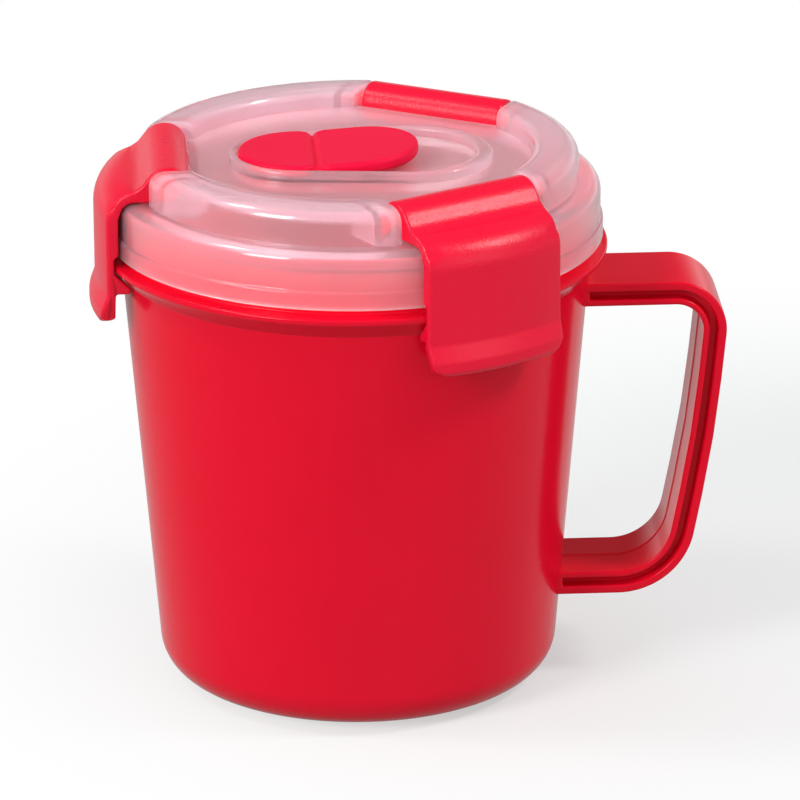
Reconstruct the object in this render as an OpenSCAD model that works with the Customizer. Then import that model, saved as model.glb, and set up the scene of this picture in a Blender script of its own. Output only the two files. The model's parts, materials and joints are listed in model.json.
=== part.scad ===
// Lidded soup mug: a drafted cup with a strap handle, and a clear lid with three clips and a steam vent.
// Millimetres. Z is the axis of the cup, z = 0 is the table, and the handle points along +X.

/* [Cup] */
// Height of the rim above the table
rim_z = 113.5; // [95:0.5:140]
// Radius that the outside of the wall would have at the table
wall_base_r = 44.7; // [40:0.1:52]
// Draft of the wall from the vertical, in degrees
wall_draft = 4.8; // [2:0.1:6.5]
// Thickness of the wall
wall_t = 2.2; // [1.6:0.1:3]
// Thickness of the floor
floor_t = 2.4; // [1.6:0.1:4]
// Radius of the round corner between the base and the wall
base_fillet = 9; // [5:0.5:12]
// How far the foot ring stands in from where the base begins to round up
foot_in = 0.5; // [0.2:0.1:6]
// Width of the foot ring
foot_w = 3; // [2:0.1:6]
// Height of the foot ring
foot_h = 1; // [0.6:0.1:2]
// Drop from the rim to the top of the bead that the clips hook under
bead_drop = 10.2; // [9:0.1:14]
// Height of the bead's nose
bead_nose = 1.2; // [1:0.1:2]
// How far the bead stands out past the lid's skirt
bead_lip = 1; // [0.4:0.1:2]

/* [Handle] */
// Reach of the grip from the wall, to the sharp corner under its upper round
handle_reach = 32; // [28:0.5:42]
// Width of the strap
strap_w = 22.6; // [16:0.2:28]
// Depth of the strap from its outer to its inner face
strap_t = 5.3; // [4.4:0.1:7]
// Thickness of the strap's outer flange
flange_out_t = 1.9; // [1.2:0.1:2.4]
// Thickness of the strap's inner flange
flange_in_t = 1.4; // [1:0.1:1.8]
// Thickness of the web between the flanges
web_t = 16; // [4:0.5:18]
// Drop from the foot of the bead to the top of the upper arm
handle_drop = 3.3; // [1:0.1:8]
// Height of the underside of the lower arm above the table
handle_low_z = 20; // [16:0.5:32]
// Outer radius of the upper corner
knuckle_r = 11.6; // [9:0.1:16]
// Outer radius of the lower corner
heel_r = 17.6; // [12:0.1:22]
// How far the lower corner stands back from the upper one
grip_lean = 11; // [6:0.5:16]
// How far the middle of the grip bows out from a straight line
grip_bow = 1.8; // [0.6:0.1:3]
// Radius of the bow
grip_bow_r = 300; // [150:10:400]
// Solid root of each arm beside the wall
root_len = 1; // [1:0.5:6]

/* [Lid] */
// Gap between the rim and the inside of the skirt
skirt_gap = 1.2; // [0.6:0.1:2]
// Thickness of the skirt's lower band
skirt_t = 1.8; // [1.5:0.1:2.6]
// Step from the lower band in to the upper skirt
skirt_step = 0.6; // [0.3:0.1:0.8]
// Height of the lower band
band_h = 4.2; // [2.5:0.1:6]
// Gap from the bead up to the skirt
skirt_lift = 1.75; // [0.8:0.05:3]
// Radius of the lid's shoulder
shoulder_r = 2.8; // [1.5:0.1:2.8]
// Thickness of the lid's deck
deck_t = 1.8; // [1.4:0.1:2.4]
// Thickness of the lid's other walls
shell_t = 1.5; // [1.2:0.1:2]
// Gap between the plug wall and the inside of the rim
plug_gap = 0.4; // [0.2:0.1:0.8]
// Depth of the plug wall inside the rim
plug_depth = 4.5; // [3:0.5:8]
// Width of the deck outside the raised ring
deck_w = 4.9; // [4:0.1:7]
// Height of the raised ring above the deck
ring_h = 8.2; // [7.6:0.1:9]
// Width of the raised ring
ring_w = 10.4; // [9.6:0.1:14]
// Radius of the ring's outer top corner
ring_round = 3.6; // [2:0.1:5]
// Radius of the ring's inner top corner
ring_in_round = 2.4; // [1.8:0.1:3.2]
// Height of the sunken panel above the deck
panel_rise = 3.9; // [2.8:0.1:4.5]

/* [Seal] */
// Thickness of the seal above the rim
seal_t = 2.7; // [2:0.1:4]
// Depth of the groove between the seal's two lips
seal_groove = 0.8; // [0.3:0.1:1.2]
// Gap round the seal
seal_gap = 0.1; // [0.05:0.05:0.3]

/* [Clips] */
// Width of a clip
clip_w = 35; // [28:0.5:38]
// Thickness of a clip's skin
clip_t = 1.7; // [1.4:0.1:2.4]
// Radius of the dome over the hinge
dome_r = 4.7; // [4.2:0.1:5.2]
// Distance of the hinge axis inside the clip's skin
hinge_back = 15.1; // [14:0.1:17]
// Height of the hinge axis above the deck
hinge_rise = 3.7; // [2.8:0.1:4]
// Diameter of the hinge pins
pin_d = 4.2; // [3:0.1:4.6]
// Length of a hinge pin in its ear
pin_len = 2.6; // [1.5:0.1:3.6]
// Radius of the hollow between dome and shoulder
dip_r = 2.5; // [1.5:0.1:3.5]
// Outer radius of the clip's shoulder
clip_shoulder_r = 6.2; // [4:0.1:7.5]
// How far the hook reaches in under the bead, past the bead's nose
hook_reach = 3.2; // [2:0.1:3.4]
// Thickness of the hook at its tip
hook_t = 1.5; // [1:0.1:2.5]
// Length of the finger tab below the hook
tab_len = 7.2; // [4:0.1:12]
// Thickness of the finger tab
tab_t = 3.4; // [2.6:0.1:4.5]
// How far the tab flares out past the skin
tab_flare = 1.3; // [0.5:0.1:2.5]
// Corner radius of the tab
tab_corner = 5; // [2:0.5:8]
// Width of the lid's ears that carry the pins
ear_w = 5; // [4:0.1:7]

/* [Vent] */
// Length of the vent flap and its anchored lobe together
vent_len = 40.6; // [36:0.2:44]
// Width of both lobes
vent_w = 27.4; // [22:0.2:28]
// Distance of the fold in front of the lobes' blind end
fold_at = 17.2; // [15:0.2:20]
// Distance of the lobes' blind end behind the axis
vent_back = 26.3; // [25:0.1:27]
// Thickness of the soft lobes
lobe_t = 2.4; // [2:0.1:3]
// Rise of the flap towards its tip
flap_rise = 1.6; // [0:0.1:2]
// Depth of the waist beside the fold
waist = 1.2; // [0.5:0.1:2]
// Height of the curb above the panel
curb_h = 2.5; // [2:0.1:3.5]
// Distance of the curb's front end from the axis
curb_front = 32.6; // [28:0.2:33]
// Half the width of the curb
curb_half_w = 18.6; // [17.5:0.1:20]
// Thickness of the curb at its ends
curb_t = 1.7; // [1.2:0.1:2.5]
// Diameter of the steam hole
steam_d = 7.4; // [5:0.1:9]
// Diameter of the plug under the flap
steam_plug_d = 6; // [3.5:0.1:7]
// Diameter of the stem that anchors the soft piece
stem_d = 6; // [4:0.1:8]
// Diameter of the stem's head under the lid
stem_head_d = 9; // [7:0.1:12]

/* [Fits] */
// Gap between a clip and the parts of the lid and cup round it
clip_gap = 0.4; // [0.3:0.05:0.6]
// Gap between a clip's ends and the ears
clip_side_gap = 0.5; // [0.3:0.05:0.8]
// Running gap round a hinge pin
pin_gap = 0.08; // [0.03:0.01:0.1]
// Gap round the soft vent pieces
vent_gap = 0.3; // [0.2:0.05:0.5]

/* [Hidden] */
$fn = 72;

// Small rounds on moulded edges
edge_r = 0.7;
fine_r = 0.4;
// Length by which cutting bodies overshoot
over = 1;
// Depth by which a curve crosses an edge that it would otherwise only touch
hair = 0.01;

// Cup
function wall_r(z) = wall_base_r + z * tan(wall_draft);
bead_out = skirt_gap + skirt_t + bead_lip;
bead_top_z = rim_z - bead_drop;
bead_foot_z = bead_top_z - bead_nose - bead_out;
rim_r = wall_r(bead_foot_z);
rim_in_r = rim_r - wall_t;
bead_r = rim_r + bead_out;
floor_z = foot_h + floor_t;
foot_r = wall_r(foot_h) - base_fillet / tan((90 + wall_draft) / 2) - foot_in;

// Handle
handle_top_z = bead_foot_z - handle_drop;
knuckle = [wall_r(handle_top_z) + handle_reach, handle_top_z];
heel = [knuckle.x - grip_lean, handle_low_z];
grip_mid = (knuckle + heel) / 2 + [grip_bow, 0];
arm_start = wall_base_r / 2;
handle_path = [
    [arm_start, heel.y, 0],
    [heel.x, heel.y, heel_r],
    [grip_mid.x, grip_mid.y, grip_bow_r],
    [knuckle.x, knuckle.y, knuckle_r],
    [arm_start, knuckle.y, 0]
];

// Lid
skirt_in_r = rim_r + skirt_gap;
skirt_r = skirt_in_r + skirt_t;
skirt_z = bead_top_z + skirt_lift;
ceiling_z = rim_z + seal_gap + seal_t;
deck_z = ceiling_z + deck_t;
upper_r = skirt_r - skirt_step;
ring_r = upper_r - deck_w;
ring_in_r = ring_r - ring_w;
ring_z = deck_z + ring_h;
panel_z = deck_z + panel_rise;
panel_under_z = panel_z - shell_t;
plug_r = rim_in_r - plug_gap;
plug_in_r = plug_r - shell_t;
plug_z = rim_z - plug_depth;

// Clips
clip_in_r = bead_r + clip_gap;
clip_r = clip_in_r + clip_t;
hinge_x = clip_in_r - hinge_back;
hinge_z = deck_z + hinge_rise;
bridge_under_z = deck_z + clip_gap;
bridge_z = bridge_under_z + clip_t;
pocket_half = clip_w / 2 + clip_side_gap;
pocket_in_x = hinge_x - dome_r - clip_gap;
pocket_out_x = sqrt(plug_in_r * plug_in_r - pocket_half * pocket_half) - clip_gap;
pocket_z = hinge_z - dome_r - clip_gap;
seat_z = pocket_z - shell_t;
hook_r = bead_r - hook_reach;
// The hook's top runs parallel to the bead's 45 degree underside, one clip gap below it
hook_drop = clip_gap * sqrt(2);
hook_tip_z = bead_foot_z + hook_r - rim_r - hook_drop;
hook_root_z = hook_tip_z + clip_in_r - hook_r;
hook_z = hook_tip_z - hook_t;
tab_z = hook_z - tab_len;
tab_r = clip_r + tab_flare;
clip_angles = [180, -60, 60];
ear_half = pocket_half + ear_w;
ring_edge_x = sqrt(ring_in_r * ring_in_r - ear_half * ear_half);

// Vent
vent_r = vent_w / 2;
lobe_back = [vent_r - vent_back, 0];
lobe_front = [vent_len - vent_r - vent_back, 0];
fold_x = fold_at - vent_back;
seat_panel_z = panel_z + vent_gap;
lobe_z = seat_panel_z + vent_gap;
lobe_top_z = lobe_z + lobe_t;
fold_r = lobe_t / 2;
curb_z = panel_z + curb_h;
curb_back_r = vent_r + vent_gap + curb_t;
curb_front_c = [curb_front - curb_half_w, 0];
stem_x = (fold_x - vent_back) / 2;
steam_x = fold_x + vent_r;
stem_head_t = 1.2;

function unit(v) = v / norm(v);
function before(c, i) = c[(i + len(c) - 1) % len(c)];
function after(c, i) = c[(i + 1) % len(c)];
function flat(p) = [p.x, p.y];
function towards(p, q) = unit(flat(q) - flat(p));
function half_angle(c, i) = acos(towards(c[i], before(c, i)) * towards(c[i], after(c, i))) / 2;
function tangent(c, i, q) = flat(c[i]) + towards(c[i], q) * c[i].z / tan(half_angle(c, i));
function inset(c, i, depth) = flat(c[i])
    + unit(towards(c[i], before(c, i)) + towards(c[i], after(c, i))) * depth / sin(half_angle(c, i));
function convex(c, i) = cross(flat(c[i]) - flat(before(c, i)), flat(after(c, i)) - flat(c[i])) > 0;

// Kite at one corner: its two tangent points, a point at or past the corner, and a point at or past the chord
module corner_kite(c, i, past_corner, past_chord) {
    start = tangent(c, i, before(c, i));
    end = tangent(c, i, after(c, i));
    middle = (start + end) / 2;
    reach = flat(c[i]) - middle;
    polygon([start, flat(c[i]) + reach * past_corner, end, middle - reach * past_chord]);
}

// Circle of one corner's arc, a hair past both edges
module corner_circle(c, i) {
    translate(inset(c, i, c[i].z - hair)) circle(r = c[i].z);
}

// Closed outline, counter-clockwise, whose corners [x, y, radius] are rounded by true arcs:
// an outer corner loses what is outside its arc, and an inner corner is filled up to its arc
module profile(c) {
    rounded = [for (i = [0 : len(c) - 1]) if (c[i].z > 0) i];
    stretch = 0.4;
    difference() {
        polygon([for (i = [0 : len(c) - 1]) each c[i].z == 0 || convex(c, i)
            ? [flat(c[i])]
            : [tangent(c, i, before(c, i)), tangent(c, i, after(c, i))]]);
        for (i = rounded) if (convex(c, i)) difference() {
            corner_kite(c, i, stretch, 0);
            corner_circle(c, i);
        }
        for (i = rounded) if (!convex(c, i)) intersection() {
            corner_kite(c, i, 0, stretch);
            corner_circle(c, i);
        }
    }
}

// Turns a drawing in x and z to stand in the XZ plane, with the given depth centred on y = 0
module upright(depth) {
    rotate([90, 0, 0]) linear_extrude(height = depth, center = true) children();
}

// Cup: foot ring, round base, drafted wall, hook bead and straight rim in one turned profile
module mug_body() {
    color("#d8142c") rotate_extrude() profile([
        [0, foot_h, 0],
        [foot_r - foot_w, foot_h, 0],
        [foot_r - foot_w, 0, fine_r],
        [foot_r, 0, fine_r],
        [foot_r, foot_h, 0],
        [wall_r(foot_h), foot_h, base_fillet],
        [rim_r, bead_foot_z, fine_r],
        [bead_r, bead_top_z - bead_nose, fine_r],
        [bead_r, bead_top_z, fine_r],
        [rim_r, bead_top_z, fine_r],
        [rim_r, rim_z, edge_r],
        [rim_in_r, rim_z, edge_r],
        [rim_in_r, bead_foot_z, 0],
        [wall_r(floor_z) - wall_t, floor_z, base_fillet - wall_t],
        [0, floor_z, 0]
    ]);
}

// Outline of the handle's outer face in x and z, moved inwards by a depth
module handle_outline(depth) {
    profile([for (i = [0 : len(handle_path) - 1]) concat(
        inset(handle_path, i, depth),
        max(handle_path[i].z - depth, 0)
    )]);
}

// Layer of the strap between two depths under its outer face
module strap_layer(from, to) {
    difference() {
        handle_outline(from);
        handle_outline(to);
    }
}

// Cone of the cup's outer wall, grown by a margin
module wall_cone(margin) {
    cylinder(r1 = wall_r(0) + margin, r2 = wall_r(rim_z) + margin, h = rim_z);
}

// Handle: strap with a channel in each side, from under the bead back to the wall above the base
module handle() {
    channel = (strap_w - web_t) / 2;
    color("#d8142c") difference() {
        upright(strap_w) strap_layer(0, strap_t);
        difference() {
            for (side = [-1, 1]) translate([0, side * (web_t + channel + over) / 2, 0])
                upright(channel + over) strap_layer(flange_out_t, strap_t - flange_in_t);
            wall_cone(root_len);
        }
        wall_cone(0);
    }
}

// Room inside the lid's ring, plug wall and panel, up to the middle of those walls
module lid_core() {
    half_t = shell_t / 2;
    rotate_extrude() profile([
        [0, seat_z, 0],
        [plug_r - half_t, seat_z, 0],
        [plug_r - half_t, ring_z - half_t, ring_round - half_t],
        [ring_in_r + half_t, ring_z - half_t, ring_in_round - half_t],
        [ring_in_r + half_t, panel_z - half_t, 0],
        [0, panel_z - half_t, 0]
    ]);
}

// Turned shell of the lid: skirt, deck, raised hollow ring, sunken panel and plug wall
module lid_shell() {
    rotate_extrude() profile([
        [0, panel_under_z, 0],
        [ring_in_r + shell_t, panel_under_z, 0],
        [ring_in_r + shell_t, ring_z - shell_t, ring_in_round - shell_t],
        [plug_in_r, ring_z - shell_t, ring_round - shell_t],
        [plug_in_r, plug_z, fine_r],
        [plug_r, plug_z, fine_r],
        [plug_r, ceiling_z, 0],
        [skirt_in_r, ceiling_z, 0],
        [skirt_in_r, skirt_z, fine_r],
        [skirt_r, skirt_z, fine_r],
        [skirt_r, skirt_z + band_h, fine_r],
        [upper_r, skirt_z + band_h, fine_r],
        [upper_r, deck_z, shoulder_r],
        [ring_r, deck_z, fine_r],
        [ring_r, ring_z, ring_round],
        [ring_in_r, ring_z, ring_in_round],
        [ring_in_r, panel_z, fine_r],
        [0, panel_z, 0]
    ]);
}

// What the lid carries round one clip on +X: a block from ear to ear, with its floor, inner wall and panel edge
module clip_seat() {
    intersection() {
        lid_core();
        upright(2 * ear_half) polygon([
            [pocket_in_x - shell_t, seat_z - over],
            [clip_r, seat_z - over],
            [clip_r, ring_z],
            [ring_edge_x, ring_z],
            [ring_edge_x, panel_z - shell_t / 2],
            [pocket_in_x - shell_t, panel_z - shell_t / 2]
        ]);
    }
}

// Space that one clip on +X swings in, with the bores of its pins
module clip_space() {
    upright(2 * pocket_half) polygon([
        [pocket_in_x, pocket_z],
        [pocket_out_x, pocket_z],
        [pocket_out_x, deck_z - hair],
        [clip_r, deck_z - hair],
        [clip_r, ring_z + over],
        [ring_edge_x, ring_z + over],
        [ring_edge_x, panel_z - hair],
        [pocket_in_x, panel_z - hair]
    ]);
    bore_half = pocket_half + pin_len + clip_side_gap;
    translate([hinge_x, 0, hinge_z]) upright(2 * bore_half) circle(d = pin_d + 2 * pin_gap);
}

// Outline round two circles of different size on the X axis
module tapered_pill(back, back_r, front, front_r) {
    lean = asin((back_r - front_r) / norm(front - back));
    side = [sin(lean), cos(lean)];
    translate(back) circle(r = back_r);
    translate(front) circle(r = front_r);
    corners = [back + side * (back_r - hair), front + side * (front_r - hair)];
    polygon([
        corners[0],
        [corners[0].x, -corners[0].y],
        [corners[1].x, -corners[1].y],
        corners[1]
    ]);
}

// Raised curb round the vent, with the lobes' seat and the finger scoop sunk in it
module vent_curb() {
    difference() {
        translate([0, 0, panel_z - shell_t / 2]) linear_extrude(height = curb_h + shell_t / 2)
            tapered_pill(lobe_back, curb_back_r, curb_front_c, curb_half_w);
        translate([0, 0, seat_panel_z]) linear_extrude(height = curb_z)
            tapered_pill(lobe_back, curb_back_r - curb_t, curb_front_c, curb_half_w - curb_t);
    }
}

// Lid: clear shell with three clip seats, a vent curb, a steam hole and the stem's hole
module lid() {
    color("#f3d8dc", 0.6) difference() {
        union() {
            lid_shell();
            for (angle = clip_angles) rotate([0, 0, angle]) clip_seat();
            vent_curb();
        }
        for (angle = clip_angles) rotate([0, 0, angle]) clip_space();
        translate([steam_x, 0, panel_under_z - over]) cylinder(d = steam_d, h = curb_z);
        translate([stem_x, 0, panel_under_z - over]) cylinder(d = stem_d + 2 * vent_gap, h = curb_z);
    }
}

// Seal: soft ring in the lid's channel, with two lips that close on the rim
module lid_seal() {
    inner = plug_r + seal_gap;
    outer = skirt_in_r - seal_gap;
    low_z = rim_z + seal_gap;
    high_z = ceiling_z - seal_gap;
    third = (outer - inner) / 3;
    color("#f0b9c2") rotate_extrude() profile([
        [inner, low_z, fine_r],
        [inner + third, low_z, fine_r],
        [inner + third, low_z + seal_groove, fine_r],
        [outer - third, low_z + seal_groove, fine_r],
        [outer - third, low_z, fine_r],
        [outer, low_z, fine_r],
        [outer, high_z, fine_r],
        [inner, high_z, fine_r]
    ]);
}

// Turned part of a clip: bridge, shoulder, skin, hook and finger tab
module clip_skin() {
    sweep = 2 * asin(clip_w / 2 / hook_r) + over;
    rotate([0, 0, -sweep / 2]) rotate_extrude(angle = sweep) profile([
        [hinge_x + pin_d / 2, bridge_under_z, 0],
        [clip_in_r, bridge_under_z, clip_shoulder_r - clip_t],
        [clip_in_r, hook_root_z, fine_r],
        [hook_r, hook_tip_z, fine_r],
        [hook_r, hook_z, fine_r],
        [tab_r - tab_t, hook_z, edge_r],
        [tab_r - tab_t, tab_z, tab_t / 2 - fine_r],
        [tab_r, tab_z, tab_t / 2 - fine_r],
        [tab_r, tab_z + tab_len / 2, tab_t],
        [clip_r, hook_z, tab_t],
        [clip_r, bridge_z, clip_shoulder_r],
        [hinge_x + pin_d / 2, bridge_z, 0]
    ]);
}

// Front view of a clip in y and z, with the tab's two round corners
module clip_front_view() {
    half = clip_w / 2;
    top_z = hinge_z + dome_r + over;
    rotate([90, 0, 90]) linear_extrude(height = tab_r + over) profile([
        [-half, tab_z, tab_corner],
        [half, tab_z, tab_corner],
        [half, top_z, 0],
        [-half, top_z, 0]
    ]);
}

// Straight part of a clip: half barrel over the hinge, and the hollow that leads to the bridge
module clip_head() {
    dip_z = bridge_z + dip_r - hair;
    dip = [hinge_x + sqrt(pow(dome_r + dip_r - hair, 2) - pow(dip_z - hinge_z, 2)), dip_z];
    upright(clip_w) {
        intersection() {
            translate([hinge_x, hinge_z]) circle(r = dome_r);
            translate([hinge_x - dome_r, hinge_z]) square([2 * dome_r, dome_r]);
        }
        difference() {
            polygon([
                [hinge_x, hinge_z],
                [hinge_x, bridge_under_z],
                [dip.x, bridge_under_z],
                dip
            ]);
            translate(dip) circle(r = dip_r);
        }
    }
    translate([hinge_x, 0, hinge_z]) upright(clip_w + 2 * (clip_side_gap + pin_len)) circle(d = pin_d);
}

// Clip on +X: dome, bridge, skin, hook and tab in one moulding, with a pin at each end
module clip() {
    color("#e8173a") union() {
        intersection() {
            clip_skin();
            clip_front_view();
        }
        clip_head();
    }
}

module clip_left() { rotate([0, 0, clip_angles[0]]) clip(); }
module clip_front() { rotate([0, 0, clip_angles[1]]) clip(); }
module clip_back() { rotate([0, 0, clip_angles[2]]) clip(); }

// Plan of both lobes, with the waist notched at the fold
module lobes_plan() {
    difference() {
        tapered_pill(lobe_back, vent_r, lobe_front, vent_r);
        for (side = [-1, 1]) translate([fold_x, side * (vent_r + fold_r)]) circle(r = fold_r + waist);
    }
}

// Anchored lobe: sits in the curb, and its stem holds it in the lid
module vent_plug() {
    color("#ee1f45") {
        translate([0, 0, lobe_z]) linear_extrude(height = lobe_t) intersection() {
            lobes_plan();
            translate([-vent_back, -vent_r]) square([fold_at - fold_r - vent_gap, vent_w]);
        }
        stem_low_z = panel_under_z - vent_gap - stem_head_t;
        translate([stem_x, 0, stem_low_z]) cylinder(d = stem_d, h = lobe_z - stem_low_z);
        translate([stem_x, 0, stem_low_z]) cylinder(d = stem_head_d, h = stem_head_t);
    }
}

// Flap: lifts about the fold, and its plug closes the steam hole
module vent_flap() {
    tip_x = vent_len - vent_back;
    color("#ee1f45") {
        intersection() {
            translate([0, 0, lobe_z - over]) linear_extrude(height = lobe_t + flap_rise + 2 * over) lobes_plan();
            upright(vent_w) {
                translate([fold_x, lobe_z + fold_r]) circle(r = fold_r);
                polygon([
                    [fold_x, lobe_z],
                    [tip_x, lobe_z],
                    [tip_x, lobe_top_z + flap_rise],
                    [fold_x, lobe_top_z]
                ]);
            }
        }
        translate([steam_x, 0, panel_under_z]) cylinder(d = steam_plug_d, h = lobe_z - panel_under_z + over);
    }
}

mug_body();
handle();
lid();
lid_seal();
clip_left();
clip_front();
clip_back();
vent_plug();
vent_flap();
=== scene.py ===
import json
import math

import bmesh
import bpy
from mathutils import Matrix, Vector


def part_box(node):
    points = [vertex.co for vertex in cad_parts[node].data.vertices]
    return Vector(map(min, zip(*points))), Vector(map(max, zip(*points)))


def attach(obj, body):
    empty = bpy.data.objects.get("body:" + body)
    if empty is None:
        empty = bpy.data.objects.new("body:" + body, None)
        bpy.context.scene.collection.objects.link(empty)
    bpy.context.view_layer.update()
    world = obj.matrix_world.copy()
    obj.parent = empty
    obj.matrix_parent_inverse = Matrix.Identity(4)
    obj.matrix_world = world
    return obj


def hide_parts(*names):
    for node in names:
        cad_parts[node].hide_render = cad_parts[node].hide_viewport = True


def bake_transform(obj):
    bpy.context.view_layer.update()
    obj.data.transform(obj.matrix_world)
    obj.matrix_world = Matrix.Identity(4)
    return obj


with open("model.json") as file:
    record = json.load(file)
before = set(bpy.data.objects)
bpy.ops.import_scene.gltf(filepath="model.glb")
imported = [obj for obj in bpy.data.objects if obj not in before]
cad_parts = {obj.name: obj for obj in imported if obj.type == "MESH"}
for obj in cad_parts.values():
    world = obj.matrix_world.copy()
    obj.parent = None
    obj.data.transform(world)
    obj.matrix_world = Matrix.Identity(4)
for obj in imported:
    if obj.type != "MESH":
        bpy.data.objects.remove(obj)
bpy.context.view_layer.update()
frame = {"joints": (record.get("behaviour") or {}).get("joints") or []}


# Cup: one injection moulding in glossy red polypropylene. A drafted wall on a round base with a foot ring,
# a bead below the rim that the clips hook under, and a straight rim that the lid's skirt slips over.
# Sizes here and below are in millimetres, and become metres where a mesh is drawn.
MM = 0.001
rim_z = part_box("mug_body")[1][2] / MM
bead_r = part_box("mug_body")[1][0] / MM
wall_t = 2.2
floor_z = 3.4
base_z = 1
base_r = 44.7
base_round = 9
draft = math.radians(4.8)
foot_r = 36
foot_t = 3
bead_z = rim_z - 10.2
bead_edge_h = 1.2
bead_foot_z = bead_z - 5.2


def wall_r(z):
    """Radius of the cup's outside at a height."""
    return base_r + z * math.tan(draft)


rim_r = wall_r(bead_foot_z)


def rounded(corners, turn=8):
    """Points on a closed line through corners (x, z, radius), each an arc in steps of about turn degrees."""
    points = []
    for i, (x, z, radius) in enumerate(corners):
        corner = Vector((x, z))
        if radius == 0:
            points.append(corner)
            continue
        back = (Vector(corners[i - 1][:2]) - corner).normalized()
        on = (Vector(corners[(i + 1) % len(corners)][:2]) - corner).normalized()
        half = back.angle(on) / 2
        centre = corner + (back + on).normalized() * radius / math.sin(half)
        first = corner + back * radius / math.tan(half) - centre
        last = corner + on * radius / math.tan(half) - centre
        swing = math.atan2(first.cross(last), first.dot(last))
        steps = max(2, math.ceil(math.degrees(abs(swing)) / turn))
        for k in range(steps + 1):
            points.append(centre + Matrix.Rotation(swing * k / steps, 2) @ first)
    return [point for i, point in enumerate(points) if (point - points[i - 1]).length > 0.03]


def put_down():
    """Leaves edit mode with nothing selected."""
    if bpy.context.object and bpy.context.object.mode == "EDIT":
        bpy.ops.object.mode_set(mode="OBJECT")
    bpy.ops.object.select_all(action="DESELECT")


def outline(name, points):
    """A closed line of edges standing in the XZ plane, in edit mode and selected."""
    put_down()
    bpy.ops.mesh.primitive_circle_add(vertices=len(points), fill_type="NOTHING")
    piece = bpy.context.object
    piece.name = piece.data.name = name
    for vertex, (x, z) in zip(piece.data.vertices, points):
        vertex.co = (x * MM, 0, z * MM)
    bpy.ops.object.mode_set(mode="EDIT")
    bpy.ops.mesh.select_mode(type="VERT")
    bpy.ops.mesh.select_all(action="SELECT")
    return piece


def close_up():
    """Joins what meets in the mesh being edited, and turns its faces outwards."""
    bpy.ops.mesh.select_all(action="SELECT")
    bpy.ops.mesh.remove_doubles(threshold=0.002 * MM)
    bpy.ops.mesh.delete_loose()
    bpy.ops.mesh.select_all(action="SELECT")
    bpy.ops.mesh.normals_make_consistent(inside=False)


def turned(name, points, steps):
    """A solid turned from a closed line about the cup's axis, in edit mode."""
    piece = outline(name, points)
    bpy.ops.mesh.spin(steps=steps, angle=math.tau, center=(0, 0, 0), axis=(0, 0, 1))
    close_up()
    return piece


def pick(piece):
    """Leaves edit mode with this piece alone selected."""
    put_down()
    piece.select_set(True)
    bpy.context.view_layer.objects.active = piece


def apply_modifier(piece, kind, **settings):
    """Adds one modifier to the picked piece and applies it."""
    bpy.ops.object.modifier_add(type=kind)
    modifier = piece.modifiers[-1]
    for name, value in settings.items():
        setattr(modifier, name, value)
    bpy.ops.object.modifier_apply(modifier=modifier.name)


def polish(piece, angle=32):
    """Smooth shading that keeps flat faces flat between their rounded edges."""
    pick(piece)
    bpy.ops.object.shade_smooth_by_angle(angle=math.radians(angle))
    apply_modifier(piece, "WEIGHTED_NORMAL", keep_sharp=True, weight=80)


def coat(piece, finish):
    """Gives all of a piece one material."""
    piece.data.materials.clear()
    piece.data.materials.append(finish)
    for face in piece.data.polygons:
        face.material_index = 0


def srgb(red, green, blue):
    """A colour from its 0 to 255 screen values."""
    channels = [c / 255 for c in (red, green, blue)]
    return [c / 12.92 if c < 0.04045 else ((c + 0.055) / 1.055) ** 2.4 for c in channels] + [1]


class Finish:
    """A shader socket: sums on it add Math nodes, and node() adds any other node to its material."""

    def __init__(self, tree, socket=None):
        self.tree = tree
        self.socket = socket

    def node(self, kind, settings=None, inputs=None, output=0):
        made = self.tree.nodes.new("ShaderNode" + kind)
        for name, value in (settings or {}).items():
            setattr(made, name, value)
        for name, value in (inputs or {}).items():
            if isinstance(value, Finish):
                self.tree.links.new(value.socket, made.inputs[name])
            else:
                made.inputs[name].default_value = value
        return Finish(self.tree, made.outputs[output]) if made.outputs else None

    def maths(self, operation, first, second):
        return self.node("Math", {"operation": operation}, {0: first, 1: second})

    def __add__(self, other):
        return self.maths("ADD", self, other)

    def __radd__(self, other):
        return self.maths("ADD", other, self)

    def __mul__(self, other):
        return self.maths("MULTIPLY", self, other)

    def __rmul__(self, other):
        return self.maths("MULTIPLY", other, self)

    def tint(self, low, high):
        """The colour between two others that this value picks."""
        return self.node("Mix", {"data_type": "RGBA"}, {0: self, 6: low, 7: high}, output=2)


def material(name):
    """An empty node material, and the point on the piece that its textures start from."""
    made = bpy.data.materials.new(name)
    made.use_nodes = True
    made.node_tree.nodes.clear()
    return made, Finish(made.node_tree).node("TexCoord", output="Object")


def noise(spot, scale, detail):
    """An uneven value over a piece, finer with a larger scale."""
    return spot.node("TexNoise", {}, {"Vector": spot, "Scale": scale, "Detail": detail})


# Moulded red: deep and glossy, with a faint unevenness from the mould and a soft ripple in the shine.
cup_red, spot = material("cup_red")
cloud = noise(spot, scale=38, detail=3)
ripple = noise(spot, scale=260, detail=2)
speck = noise(spot, scale=2600, detail=1)
gloss = spot.node("BsdfPrincipled", {}, {
    "Base Color": cloud.tint(srgb(222, 10, 40), srgb(230, 12, 45)),
    "Roughness": 0.13 + 0.06 * cloud + 0.04 * speck,
    "Specular IOR Level": 0.14,
    "Normal": spot.node("Bump", {}, {"Height": ripple, "Strength": 0.05, "Distance": 0.0004}),
})
spot.node("OutputMaterial", {}, {"Surface": gloss})

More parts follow.
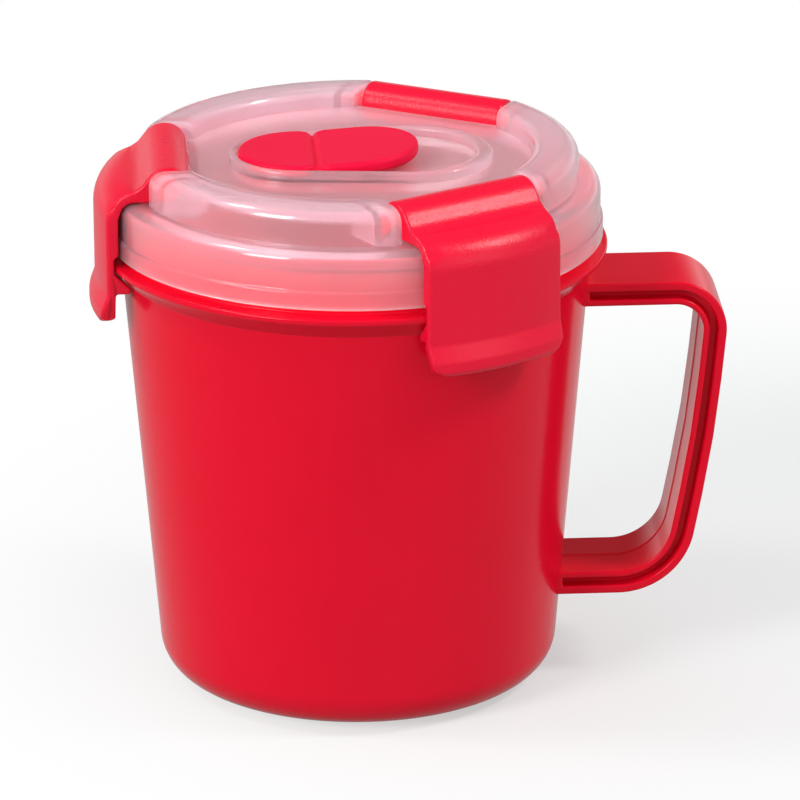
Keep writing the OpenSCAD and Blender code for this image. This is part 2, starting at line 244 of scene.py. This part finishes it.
cup = turned("mug_cup", rounded([
    (0, base_z, 0),
    (foot_r - foot_t, base_z, 0.3),
    (foot_r - foot_t, 0, 0.4),
    (foot_r, 0, 0.4),
    (foot_r, base_z, 0.3),
    (wall_r(base_z), base_z, base_round),
    (rim_r, bead_foot_z, 0.5),
    (bead_r, bead_z - bead_edge_h, 0.5),
    (bead_r, bead_z, 0.5),
    (rim_r, bead_z, 0.4),
    (rim_r, rim_z, 0.7),
    (rim_r - wall_t, rim_z, 0.7),
    (rim_r - wall_t, bead_foot_z, 2),
    (wall_r(floor_z) - wall_t, floor_z, base_round - wall_t),
    (0, floor_z, 0),
]), steps=240)
polish(cup)
coat(cup, cup_red)
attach(cup, "mug")
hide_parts("mug_body")


# Handle: part of the cup's moulding, a strap of I section with a channel in each side.
# Its flanges have soft edges, and its two arms run into the wall under the bead and above the base.
strap_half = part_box("handle")[1][1] / MM
strap_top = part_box("handle")[1][2] / MM
strap_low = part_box("handle")[0][2] / MM
strap_mid = (strap_low + strap_top) / 2
strap_t = 5.3
outer_flange_t = 1.9
inner_flange_t = 1.4
strap_layers = [0, outer_flange_t, strap_t - inner_flange_t, strap_t]
strap_edge = 0.45
web_half = 8
plain_end = 1.6
upper_root = wall_r(strap_top) - 2.05
lower_root = wall_r(strap_low) - 1.6
knuckle_x = wall_r(strap_top) + 32
knuckle_round = 11.6
heel_x = knuckle_x - 11
heel_round = 17.6
grip_bow = 1.8
grip_round = 300
seam_half = 0.35
seam_h = 0.22

# Line of the strap's outer face, from the lower root round the grip to the upper root
strap_line = rounded([
    (lower_root, strap_low, 0),
    (lower_root + plain_end, strap_low, 0),
    (heel_x, strap_low, heel_round),
    ((heel_x + knuckle_x) / 2 + grip_bow, strap_mid, grip_round),
    (knuckle_x, strap_top, knuckle_round),
    (upper_root + plain_end, strap_top, 0),
    (upper_root, strap_top, 0),
], turn=4)
stations = len(strap_line)

# Side of the strap as a grid, drawn through to the other side, with the channel's faces marked and then sunk
put_down()
bpy.ops.mesh.primitive_grid_add(x_subdivisions=stations - 1, y_subdivisions=len(strap_layers) - 1)
handle = bpy.context.object
handle.name = handle.data.name = "mug_handle"
for i, vertex in enumerate(handle.data.vertices):
    station = i % stations
    on = strap_line[min(station + 1, stations - 1)] - strap_line[max(station - 1, 0)]
    inwards = Vector((-on.y, on.x)).normalized()
    x, z = strap_line[station] + inwards * strap_layers[i // stations]
    vertex.co = (x * MM, strap_half * MM, z * MM)
for face in handle.data.polygons:
    layer, station = divmod(min(face.vertices), stations)
    face.material_index = int(layer == 1 and 0 < station < stations - 2)
bpy.ops.object.mode_set(mode="EDIT")
bpy.ops.mesh.select_all(action="SELECT")
bpy.ops.mesh.extrude_region_move(TRANSFORM_OT_translate={"value": (0, -2 * strap_half * MM, 0)})
close_up()
bpy.ops.mesh.select_mode(type="FACE")
for side in (-1, 1):
    bpy.ops.mesh.select_all(action="DESELECT")
    for face in bmesh.from_edit_mesh(handle.data).faces:
        face.select = face.material_index == 1 and face.normal.y * side > 0.9
    sink = side * (web_half - strap_half) * MM
    bpy.ops.mesh.extrude_region_move(TRANSFORM_OT_translate={"value": (0, sink, 0)})
close_up()
pick(handle)
apply_modifier(
    handle, "BEVEL", width=strap_edge * MM, segments=3, limit_method="ANGLE", angle_limit=math.radians(50))

# Parting line that the mould leaves along the middle of the strap's inner face
bpy.ops.object.mode_set(mode="EDIT")
for y in (-seam_half, 0, seam_half):
    bpy.ops.mesh.select_all(action="SELECT")
    bpy.ops.mesh.bisect(plane_co=(0, y * MM, 0), plane_no=(0, 1, 0))
finger_gap = Vector((heel_x - 6, 0, strap_mid)) * MM
for vertex in bmesh.from_edit_mesh(handle.data).verts:
    if abs(vertex.co.y) < 0.01 * MM and vertex.normal.dot(finger_gap - vertex.co) > 0:
        vertex.co += vertex.normal * seam_h * MM
polish(handle, 40)
coat(handle, cup_red)
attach(handle, "mug")
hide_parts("handle")


# Seal: a soft ring of red silicone, pushed by hand into the channel between the lid's skirt and plug wall.
# Its two lips close on the rim. With the lid on it shows only as a shade through the skirt.
seal_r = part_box("lid_seal")[1][0] / MM
seal_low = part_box("lid_seal")[0][2] / MM
seal_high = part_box("lid_seal")[1][2] / MM
seal_in_r = seal_r - 3.6
lip = 1.2
groove_z = seal_low + 0.8

seal_soft, spot = material("seal_soft")
haze = noise(spot, scale=420, detail=2)
silicone = spot.node("BsdfPrincipled", {}, {
    "Base Color": haze.tint(srgb(202, 42, 62), srgb(214, 56, 74)),
    "Roughness": 0.42 + 0.12 * haze,
    "Specular IOR Level": 0.4,
    "Normal": spot.node("Bump", {}, {"Height": haze, "Strength": 0.08, "Distance": 0.0003}),
})
spot.node("OutputMaterial", {}, {"Surface": silicone})

seal = turned("lid_seal_ring", rounded([
    (seal_in_r, seal_low, 0.4),
    (seal_in_r + lip, seal_low, 0.4),
    (seal_in_r + lip, groove_z, 0.3),
    (seal_r - lip, groove_z, 0.3),
    (seal_r - lip, seal_low, 0.4),
    (seal_r, seal_low, 0.4),
    (seal_r, seal_high, 0.5),
    (seal_in_r, seal_high, 0.5),
], turn=18), steps=180)
polish(seal)
coat(seal, seal_soft)
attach(seal, "lid")
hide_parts("lid_seal")


# Lid: one moulding in clear plastic with a slight haze. A skirt with a thicker lower band, a deck, a raised
# hollow ring between the clips, a sunken panel with a curb round the vent, and a plug wall inside the rim.
# Each end of the ring is an ear for a clip's pin, stiffened by a cross wall, with a pocket between two ears.
skirt_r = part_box("lid")[1][0] / MM
ring_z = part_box("lid")[1][2] / MM
plug_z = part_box("lid")[0][2] / MM
shell_t = 1.5
deck_z = ring_z - 8.2
ceiling_z = deck_z - 1.8
panel_z = deck_z + 3.9
skirt_in_r = skirt_r - 1.8
upper_r = skirt_r - 0.6
skirt_z = bead_z + 1.75
band_z = skirt_z + 4.2
plug_r = seal_in_r - 0.1
ring_r = upper_r - 4.9
ring_in_r = ring_r - 10.4
third = math.tau / 3
clip_angles = {"left": math.pi, "front": -math.pi / 3, "back": math.pi / 3}
pocket_half = 18
joint_at = {joint["name"]: joint["pos_m"] for joint in frame["joints"]}
hinge_x = -joint_at["clip_left_hinge"][0] / MM
hinge_z = joint_at["clip_left_hinge"][2] / MM
pin_r = 2.1
pocket_in_x = hinge_x - 5.1
pocket_out_x = 45
pocket_z = hinge_z - 5.1
pocket_lap = 0.4
ear_round = 0.7
ear_half = pocket_half + ear_round
lid_parts = []


def across(radius, t):
    """How far out a circle lies at a distance t beside the middle of a clip."""
    return math.sqrt(radius * radius - t * t)


def round_ends(piece, radius, steps=4):
    """Rounds the rim of the end faces of the mesh being edited, which grows outwards by the radius."""
    bpy.ops.mesh.select_mode(type="FACE")
    bpy.ops.mesh.select_all(action="DESELECT")
    for face in bmesh.from_edit_mesh(piece.data).faces:
        face.select_set(len(face.verts) > 4)
    arc = [math.pi / 2 * k / steps for k in range(steps + 1)]
    for a, b in zip(arc, arc[1:]):
        bpy.ops.mesh.inset(
            thickness=radius * MM * (math.cos(a) - math.cos(b)),
            depth=radius * MM * (math.sin(b) - math.sin(a)),
            use_even_offset=True,
        )


def placed(piece, angle):
    """A copy of a piece made on +X, with its own mesh, turned about the cup's axis."""
    copy = piece.copy()
    copy.data = piece.data.copy()
    copy.data.transform(Matrix.Rotation(angle, 4, "Z"))
    bpy.context.collection.objects.link(copy)
    return copy


def combine(piece, operation, *others):
    """Welds solids to a piece with UNION, or cuts them out of it with DIFFERENCE."""
    for other in others:
        pick(piece)
        apply_modifier(piece, "BOOLEAN", operation=operation, solver="MANIFOLD", object=other)
        bpy.data.objects.remove(other)


def draw_out(length, steps=1):
    """Fills the outline being edited and draws it out along Y, in steps that leave edges to bend at."""
    bpy.ops.mesh.edge_face_add()
    for _ in range(steps):
        bpy.ops.mesh.extrude_region_move(TRANSFORM_OT_translate={"value": (0, length / steps * MM, 0)})
    close_up()


def drill(x, z, radius, depth, along_y=False):
    """A round bar centred on a point of the XZ plane, upright or along Y, to cut with or to join on."""
    put_down()
    bpy.ops.mesh.primitive_cylinder_add(vertices=48, radius=radius * MM, depth=depth * MM)
    tool = bpy.context.object
    if along_y:
        tool.data.transform(Matrix.Rotation(math.pi / 2, 4, "X"))
    tool.data.transform(Matrix.Translation(Vector((x, 0, z)) * MM))
    return tool


def ramp(value, start, end, low, high):
    """A value that eases from one level to another while the given one goes from start to end."""
    return value.node("MapRange", {"interpolation_type": "SMOOTHSTEP"}, {
        "Value": value, "From Min": start, "From Max": end, "To Min": low, "To Max": high})


# Clear plastic with a milky haze: it bends and blurs what is under it a little, and lets the light down into
# the cup. It is rosier low on the skirt, with a painted highlight: a pale line of base colour at the skirt's
# foot.
lid_clear, spot = material("lid_clear")
haze = noise(spot, scale=140, detail=3)
height = spot.node("SeparateXYZ", {}, {0: spot}, output="Z")
upper = ramp(height, start=(skirt_z + 2) * MM, end=(skirt_z + 9) * MM, low=0, high=0.75)
# Painted highlight: the base colour turns pale in a thin line at the foot of the skirt, where light would
# gather
painted_hem_highlight = ramp(height, start=(skirt_z + 0.9) * MM, end=(skirt_z + 0.3) * MM, low=0, high=1)
rosy = (upper + 0.25 * haze).tint(srgb(246, 196, 208), srgb(255, 230, 237))
clear = spot.node("BsdfPrincipled", {}, {
    "Base Color": painted_hem_highlight.tint(rosy, srgb(255, 250, 252)),
    "Roughness": 0.29 + 0.08 * haze,
    "Transmission Weight": 0.86,
    "IOR": 1.18,
    "Coat Weight": 0.9,
    "Coat Roughness": 0.1,
})
passing = spot.node("BsdfTransparent", {}, {"Color": srgb(253, 246, 248)})
let_down = spot.node("LightPath", output="Is Shadow Ray") * 0.96
hazed = spot.node("MixShader", {}, {0: let_down, 1: clear, 2: passing})
spot.node("OutputMaterial", {}, {"Surface": hazed})

# Skirt, deck and plug wall
lid = turned("lid_shell", rounded([
    (plug_r - shell_t, plug_z, 0.4),
    (plug_r, plug_z, 0.4),
    (plug_r, ceiling_z, 0.3),
    (skirt_in_r, ceiling_z, 0.3),
    (skirt_in_r, skirt_z, 0.4),
    (skirt_r, skirt_z, 0.5),
    (skirt_r, band_z, 0.5),
    (upper_r, band_z, 0.4),
    (upper_r, deck_z, 2.8),
    (plug_r - shell_t, deck_z, 0),
], turn=12), steps=240)

# Sunken panel, with a straight edge over each pocket and the holes for steam and for the vent's stem
steam_x = 4.6
steam_hole_r = 3.7
stem_x = -17.7
stem_hole_r = 3.3
drill_depth = 8
panel = turned("lid_panel", [
    Vector((0, panel_z - shell_t)),
    Vector((ring_in_r + 1, panel_z - shell_t)),
    Vector((ring_in_r + 1, panel_z)),
    Vector((0, panel_z)),
], steps=240)
pick(panel)
for vertex in panel.data.vertices:
    for angle in clip_angles.values():
        at = Matrix.Rotation(-angle, 3, "Z") @ vertex.co / MM
        if at.x > 30 and abs(at.y) < pocket_half + pocket_lap:
            at.x = pocket_in_x - 0.1
            vertex.co = Matrix.Rotation(angle, 3, "Z") @ at * MM
steam_hole = drill(steam_x, panel_z, steam_hole_r, drill_depth)
stem_hole = drill(stem_x, panel_z, stem_hole_r, drill_depth)
combine(panel, "DIFFERENCE", steam_hole, stem_hole)
lid_parts.append(panel)

# Curb: a wall round two circles of different size, low enough for a fingertip to reach the flap over its wide
# end. It is turned as one wide round wall, then drawn in to the two circles, and is broader at the wide end.
curb_back = (-12.6, 15.7)
curb_front = (12.8, 18.3)
curb_z = panel_z + 2.5
curb_low_z = panel_z - 0.3
curb_fillet_z = panel_z + 0.25
curb_broad = 1.2
wide_r = 100
curb = turned("lid_curb", rounded([
    (wide_r - 1.9, curb_low_z, 0),
    (wide_r, curb_low_z, 0),
    (wide_r, curb_z, 0.8),
    (wide_r - 1.7, curb_z, 0.8),
    (wide_r - 1.7, curb_fillet_z, 0),
    (wide_r - 3.5, curb_low_z, 0),
], turn=15), steps=180)
pick(curb)
lean = math.acos((curb_back[1] - curb_front[1]) / (curb_front[0] - curb_back[0]))
for vertex in curb.data.vertices:
    angle = math.atan2(vertex.co.y, vertex.co.x)
    centre, radius = curb_front if abs(angle) < lean else curb_back
    broad = 1 + curb_broad * max(0, math.cos(angle)) ** 0.5
    radius += broad * (math.hypot(vertex.co.x, vertex.co.y) / MM - wide_r)
    vertex.co.x = (centre + radius * math.cos(angle)) * MM
    vertex.co.y = radius * math.sin(angle) * MM
lid_parts.append(curb)

# Raised ring from clip to clip: turned as a solid, its ends set square to the clips, then hollowed from below
ring = outline("lid_ring", rounded([
    (ring_in_r, panel_z - 0.8, 0),
    (ring_r, deck_z - 0.4, 0),
    (ring_r, ring_z, 3.6),
    (ring_in_r, ring_z, 2.4),
], turn=9))
bpy.ops.mesh.spin(steps=84, angle=third, center=(0, 0, 0), axis=(0, 0, 1))
for vertex in bmesh.from_edit_mesh(ring.data).verts:
    share = abs(math.atan2(vertex.co.y, vertex.co.x)) / third
    radius = math.hypot(vertex.co.x, vertex.co.y)
    margin = math.asin(ear_half * MM / radius)
    angle = margin + share * (third - 2 * margin)
    vertex.co.x = radius * math.cos(angle)
    vertex.co.y = radius * math.sin(angle)
for angle in (0, third):
    bpy.ops.mesh.select_all(action="DESELECT")
    mesh = bmesh.from_edit_mesh(ring.data)
    for vertex in mesh.verts:
        beside = (Matrix.Rotation(-angle, 3, "Z") @ vertex.co).y
        vertex.select_set(abs(abs(beside) - ear_half * MM) < 0.001 * MM)
    mesh.select_flush(True)
    bpy.ops.mesh.edge_face_add()
close_up()
round_ends(ring, ear_round)
bpy.ops.mesh.select_mode(type="FACE")
bpy.ops.mesh.select_all(action="DESELECT")
for face in bmesh.from_edit_mesh(ring.data).faces:
    face.select = face.normal.z < -0.7
bpy.ops.mesh.delete(type="FACE")
pick(ring)
apply_modifier(ring, "SOLIDIFY", thickness=shell_t * MM, offset=-1, use_even_offset=True)
bore = drill(hinge_x, hinge_z, pin_r + 0.1, 2 * (pocket_half + 2.2), along_y=True)
combine(ring, "DIFFERENCE", placed(bore, third), bore)
for turn in range(3):
    lid_parts.append(placed(ring, math.pi / 3 + turn * third))
bpy.data.objects.remove(ring)

# Cross wall that closes an ear inside the ring
rib_t = 1.4
rib_y = pocket_half + 3.6
rib = outline("lid_rib", rounded([
    (ring_in_r + 1, deck_z - 0.2, 0),
    (ring_r - 1, deck_z - 0.2, 0),
    (ring_r - 1, ring_z - 1, 2.7),
    (ring_in_r + 1, ring_z - 1, 1.5),
], turn=12))
draw_out(rib_t)
pick(rib)
for vertex in rib.data.vertices:
    vertex.co.y += rib_y * MM
    vertex.co.x = across(vertex.co.x, vertex.co.y)
for angle in clip_angles.values():
    lid_parts.append(placed(rib, angle))
    twin = placed(rib, 0)
    twin.data.transform(Matrix.Rotation(angle, 4, "Z") @ Matrix.Scale(-1, 4, (0, 1, 0)))
    twin.data.flip_normals()
    lid_parts.append(twin)
bpy.data.objects.remove(rib)

# Pocket that a clip's dome turns in: inner wall, floor and outer step in one trough, let into the plug wall
trough_r = plug_r - 0.7
trough_half = pocket_half + pocket_lap
pocket = outline("lid_pocket", rounded([
    (pocket_in_x - shell_t, panel_z - 0.05, 0),
    (pocket_in_x - shell_t, pocket_z - shell_t, 0.5),
    (trough_r, pocket_z - shell_t, 0),
    (trough_r, deck_z - 0.02, 0),
    (pocket_out_x, deck_z - 0.02, 0.4),
    (pocket_out_x, pocket_z, 0.5),
    (pocket_in_x, pocket_z, 0.5),
    (pocket_in_x, panel_z - 0.05, 0.4),
], turn=18))
draw_out(2 * trough_half, steps=24)
pick(pocket)
for vertex in pocket.data.vertices:
    vertex.co.y -= trough_half * MM
    vertex.co.x = min(vertex.co.x, across(trough_r * MM, vertex.co.y))
for angle in clip_angles.values():
    lid_parts.append(placed(pocket, angle))
bpy.data.objects.remove(pocket)

combine(lid, "UNION", *lid_parts)
polish(lid, 35)
coat(lid, lid_clear)
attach(lid, "lid")
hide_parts("lid")


# Clips: three alike mouldings in satin red, each with a dome over its hinge, a bridge, a skin that bends down
# over the lid's shoulder, a hook bar under the cup's bead and a flared finger tab. Its two pins snap into the
# lid's ears.
clip_half = 17.5
clip_r = 59.04
clip_t = 1.7
dome_r = 4.7
tab_r = clip_r + 1.3
tab_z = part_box("clip_left")[0][2] / MM
tab_t = 3.4
tab_corner = 5
bridge_z = deck_z + 2.1
dip_z = bridge_z + 0.9
hook_z = tab_z + 7.2
hook_r = bead_r - 3.2
hook_share = 0.96
clip_edge = 0.7
straight_x = hinge_x + 7
bend_over = 5
edge_rib_y = 14.6
edge_rib_h = 0.95
edge_rib_ramp = 1.6
edge_rib_fade = 3.2

# Satin red: a fine even grain from the spark-eroded mould, and shine that spreads into broad bands.
clip_red, spot = material("clip_red")
grain = noise(spot, scale=1800, detail=2)
cloud = noise(spot, scale=60, detail=2)
satin = spot.node("BsdfPrincipled", {}, {
    "Base Color": cloud.tint(srgb(226, 10, 48), srgb(232, 13, 54)),
    "Roughness": 0.22 + 0.12 * grain + 0.04 * cloud,
    "Specular IOR Level": 0.28,
    "Normal": spot.node("Bump", {}, {"Height": grain, "Strength": 0.36, "Distance": 0.0002}),
})
spot.node("OutputMaterial", {}, {"Surface": satin})

clip = outline("clip", rounded([
    (hinge_x - dome_r, hinge_z - 0.9, 0.72),
    (hinge_x - dome_r, hinge_z + dome_r, dome_r),
    (hinge_x + 3, hinge_z + dome_r, 5.8),
    (hinge_x + 7.1, dip_z, 4.4),
    (clip_r, dip_z, 7.4),
    (clip_r, hook_z, 3.4),
    (tab_r, tab_z + 3.6, 3.4),
    (tab_r, tab_z, 1.68),
    (tab_r - tab_t, tab_z, 1.68),
    (tab_r - tab_t, hook_z, 0.6),
    (hook_r, hook_z, 0.72),
    (hook_r, hook_z + 1.5, 0.72),
    (clip_r - clip_t, hook_z + 5.1, 0.4),
    (clip_r - clip_t, skirt_z + 0.2, 0),
    (clip_r - clip_t, skirt_z + 1.3, 0),
    (clip_r - clip_t, bridge_z - clip_t, 4.5),
    (hinge_x, bridge_z - clip_t, 0.72),
    (hinge_x, hinge_z - 0.9, 0.4),
], turn=8))
draw_out(2 * (clip_half - clip_edge), steps=30)
round_ends(clip, clip_edge)
pick(clip)


def clamped(share):
    """A share kept between 0 and 1."""
    return min(1, max(0, share))


# The straight clip gets round tab corners, a slightly shorter hook bar, the bend round the lid past the dome,
# and a short rib inside each side edge that closes on the skirt.
for vertex in clip.data.vertices:
    a, t, z = vertex.co / MM
    t -= clip_half - clip_edge
    low = max(0, tab_z + tab_corner - z)
    t *= 1 - (tab_corner - math.sqrt(max(0, tab_corner ** 2 - low ** 2))) / clip_half
    if a < clip_r - clip_t - 0.05 and hook_z - 0.7 < z < hook_z + 5:
        t *= hook_share
    bend = clamped((a - straight_x) / bend_over)
    bend *= bend * (3 - 2 * bend)
    if a < clip_r - clip_t / 2 and z > skirt_z + 1:
        side = clamped((abs(t) - edge_rib_y) / edge_rib_ramp)
        side *= clamped((bridge_z - 1 - z) / edge_rib_fade)
        a -= edge_rib_h * bend * side
    vertex.co = Vector((a + bend * (across(a, t) - a), t, z)) * MM

pins = drill(hinge_x, hinge_z, pin_r, 2 * (clip_half + 3.1), along_y=True)
apply_modifier(pins, "BEVEL", width=0.4 * MM, segments=3, limit_method="ANGLE")
pick(clip)
pins.select_set(True)
bpy.ops.object.join()
polish(clip, 40)
coat(clip, clip_red)
for name, angle in clip_angles.items():
    copy = placed(clip, angle)
    copy.name = copy.data.name = "clip_" + name + "_moulding"
    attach(copy, "clip_" + name)
    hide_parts("clip_" + name)
bpy.data.objects.remove(clip)


# Vent: one soft moulding in matte red silicone. A lobe that a stem anchors in the lid, a thin fold, and a
# flap that stands a little proud at its tip for a finger to lift. Its plug closes the steam hole.
vent_half = 13.7
vent_back_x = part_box("vent_plug")[0][0] / MM
vent_tip_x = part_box("vent_flap")[1][0] / MM
lobe_z = panel_z + 0.6
lobe_t = 2.4
flap_rise = 1.6
fold_x = joint_at["vent_flap_fold"][0] / MM
fold_w = 0.7
fold_top_cut = 0.85
fold_low_cut = 0.35
web_half_x = 1.4
waist = 1.3
waist_half_x = 2.6
under_share = 0.6
lobe_edge = 0.9
end_round = vent_half - 0.3

vent_red, spot = material("vent_red")
grain = noise(spot, scale=1500, detail=3)
cloud = noise(spot, scale=90, detail=2)
silicone = spot.node("BsdfPrincipled", {}, {
    "Base Color": cloud.tint(srgb(224, 8, 55), srgb(230, 10, 62)),
    "Roughness": 0.42 + 0.14 * grain,
    "Specular IOR Level": 0.12,
    "Normal": spot.node("Bump", {}, {"Height": grain, "Strength": 0.25, "Distance": 0.00016}),
})
spot.node("OutputMaterial", {}, {"Surface": silicone})

vent = outline("vent_soft", rounded([
    (vent_back_x, -vent_half, end_round),
    (fold_x - waist_half_x, -vent_half, 1.2),
    (fold_x, waist - vent_half, 1.1),
    (fold_x + waist_half_x, -vent_half, 1.2),
    (vent_tip_x, -vent_half, end_round),
    (vent_tip_x, vent_half, end_round),
    (fold_x + waist_half_x, vent_half, 1.2),
    (fold_x, vent_half - waist, 1.1),
    (fold_x - waist_half_x, vent_half, 1.2),
    (vent_back_x, vent_half, end_round),
], turn=6))
draw_out(lobe_t - 2 * lobe_edge)
round_ends(vent, lobe_edge)

# Rows of edges across the fold, then a groove there and the flap's rise to its tip
for x in (-1.5, -1, -0.5, 0, 0.5, 1, 1.5):
    bpy.ops.mesh.select_all(action="SELECT")
    bpy.ops.mesh.bisect(plane_co=((fold_x + x) * MM, 0, 0), plane_no=(1, 0, 0))
pick(vent)
for vertex in vent.data.vertices:
    x, thick, y = vertex.co / MM
    share = (thick + lobe_edge) / lobe_t
    near_fold = math.exp(-((x - fold_x) / fold_w) ** 2)
    rise = flap_rise * max(0, x - fold_x) / (vent_tip_x - fold_x)
    top = lobe_t - fold_top_cut * near_fold + rise
    base = fold_low_cut * near_fold + under_share * rise
    vertex.co = Vector((x, y, lobe_z + base + share * (top - base))) * MM
bpy.ops.object.mode_set(mode="EDIT")
close_up()

# Stem with its flange under the panel, and the flap's plug
stem_r = 3
stem_low_z = panel_z - shell_t - 1.5
stem_top_z = lobe_z + 0.5
flange_r = 4.5
flange_t = 1.2
steam_plug_r = 3
steam_plug_low_z = panel_z - shell_t
steam_plug_top_z = lobe_z + 1.2


def post(x, low_z, top_z, radius):
    """An upright round bar on the vent's middle line, from one height to another."""
    return drill(x, (low_z + top_z) / 2, radius, top_z - low_z)


soft_parts = [
    post(stem_x, stem_low_z, stem_top_z, stem_r),
    post(stem_x, stem_low_z, stem_low_z + flange_t, flange_r),
    post(steam_x, steam_plug_low_z, steam_plug_top_z, steam_plug_r),
]
for part in soft_parts:
    pick(part)
    apply_modifier(part, "BEVEL", width=0.3 * MM, segments=3, limit_method="ANGLE")
pick(vent)
for part in soft_parts:
    part.select_set(True)
bpy.ops.object.join()
polish(vent, 40)
coat(vent, vent_red)
web_start = ((fold_x - web_half_x) * MM, 0, hinge_z * MM)
web_end = ((fold_x + web_half_x) * MM, 0, hinge_z * MM)
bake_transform(vent)
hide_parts("vent_plug", "vent_flap")


# Studio: white paper under the cup, which turns to plain white further out. A large soft lamp lights the
# front left, a weak one fills the right, and two small ones above give the clips their bands of shine. The
# lamps don't show through the lid. A long lens looks down on it. Places here are in metres.
put_down()
bpy.ops.mesh.primitive_plane_add(size=8)
floor = bpy.context.object
floor.name = "paper_floor"
paper, spot = material("paper_white")
shadow_at = (0.11, 0.05, 0)
away = spot.node("VectorMath", {"operation": "DISTANCE"}, {0: spot, 1: shadow_at}, output="Value")
far = ramp(away, start=0.1, end=0.23, low=0, high=1)
viewed = spot.node("LightPath", output="Is Camera Ray")
mirrored = spot.node("LightPath", output="Is Glossy Ray")
through_lid = spot.node("LightPath", output="Is Transmission Ray")
seen = spot.node("Math", {"operation": "ADD", "use_clamp": True}, {0: viewed, 1: mirrored + through_lid})
sheet = spot.node("BsdfDiffuse", {}, {"Color": seen.tint((0.35, 0.35, 0.35, 1), (0.72, 0.75, 0.75, 1))})
glow = spot.node("Emission", {}, {"Color": mirrored.tint((1, 1, 1, 1), (0.55, 0.55, 0.55, 1))})
lit = spot.node("MixShader", {}, {0: (0.5 + 0.5 * far) * seen, 1: sheet, 2: glow})
spot.node("OutputMaterial", {}, {"Surface": lit})
coat(floor, paper)

world = bpy.data.worlds.new("studio_air")
bpy.context.scene.world = world
world.use_nodes = True
world.node_tree.nodes.clear()
air = Finish(world.node_tree)
height = air.node("SeparateXYZ", {}, {0: air.node("TexCoord", output="Generated")}, output="Z")
dusk = ramp(height, start=0.02, end=0.3, low=1, high=0.1)
viewed = air.node("LightPath", output="Is Camera Ray")
mirrored = air.node("LightPath", output="Is Glossy Ray")
through_lid = air.node("LightPath", output="Is Transmission Ray")
seen = air.node("Math", {"operation": "ADD", "use_clamp": True}, {0: viewed, 1: through_lid})
soft = air.node("Background", {}, {"Color": (1, 1, 1, 1), "Strength": 0.55})
horizon = air.node("Background", {}, {"Color": (1, 1, 1, 1), "Strength": dusk})
white = air.node("Background", {}, {"Color": (1, 1, 1, 1), "Strength": 1})
shine = air.node("MixShader", {}, {0: mirrored, 1: soft, 2: horizon})
air.node("OutputWorld", {}, {"Surface": air.node("MixShader", {}, {0: seen, 1: shine, 2: white})})


def lamp(name, place, aim, size, power):
    """A square soft lamp at a point, turned to face another."""
    bpy.ops.object.light_add(type="AREA", location=place)
    light = bpy.context.object
    light.name = name
    light.data.shape = "SQUARE"
    light.data.size = size
    light.data.energy = power
    light.visible_transmission = False
    light.rotation_euler = (Vector(place) - Vector(aim)).to_track_quat("Z", "Y").to_euler()


cup_middle = (0, 0, 0.06)
lid_middle = (0, 0, 0.1)
lamp("key_softbox", (-1.15, -1.1, 0.9), cup_middle, size=0.6, power=18.5)
lamp("left_spot", (-0.6, -0.05, 0.9), lid_middle, size=0.2, power=2.2)
lamp("right_spot", (0.75, -0.2, 0.85), lid_middle, size=0.22, power=4.6)
lamp("fill_softbox", (1.1, -0.9, 0.5), cup_middle, size=0.7, power=2)

# Camera at the photo's viewing angle: where it looks, its upright frame, then that frame rolled a little
yaw = math.radians(3.4)
pitch = math.radians(19.771)
roll = math.radians(0.274)
ahead = Vector((math.sin(yaw) * math.cos(pitch), math.cos(yaw) * math.cos(pitch), -math.sin(pitch)))
level = Vector((math.cos(yaw), -math.sin(yaw), 0))
down = ahead.cross(level)
right = math.cos(roll) * level + math.sin(roll) * down
down = ahead.cross(right)
bpy.ops.object.camera_add()
camera = bpy.context.object
camera.data.lens = 297.3
camera.data.sensor_width = 36
camera.data.clip_start = 0.05
camera.matrix_world = Matrix((right, -down, -ahead)).transposed().to_4x4()
camera.location = (-0.0742, -1.4158, 0.5741)
bpy.context.scene.camera = camera
bpy.context.scene.view_settings.view_transform = "Standard"
bpy.context.scene.cycles.transparent_max_bounces = 48
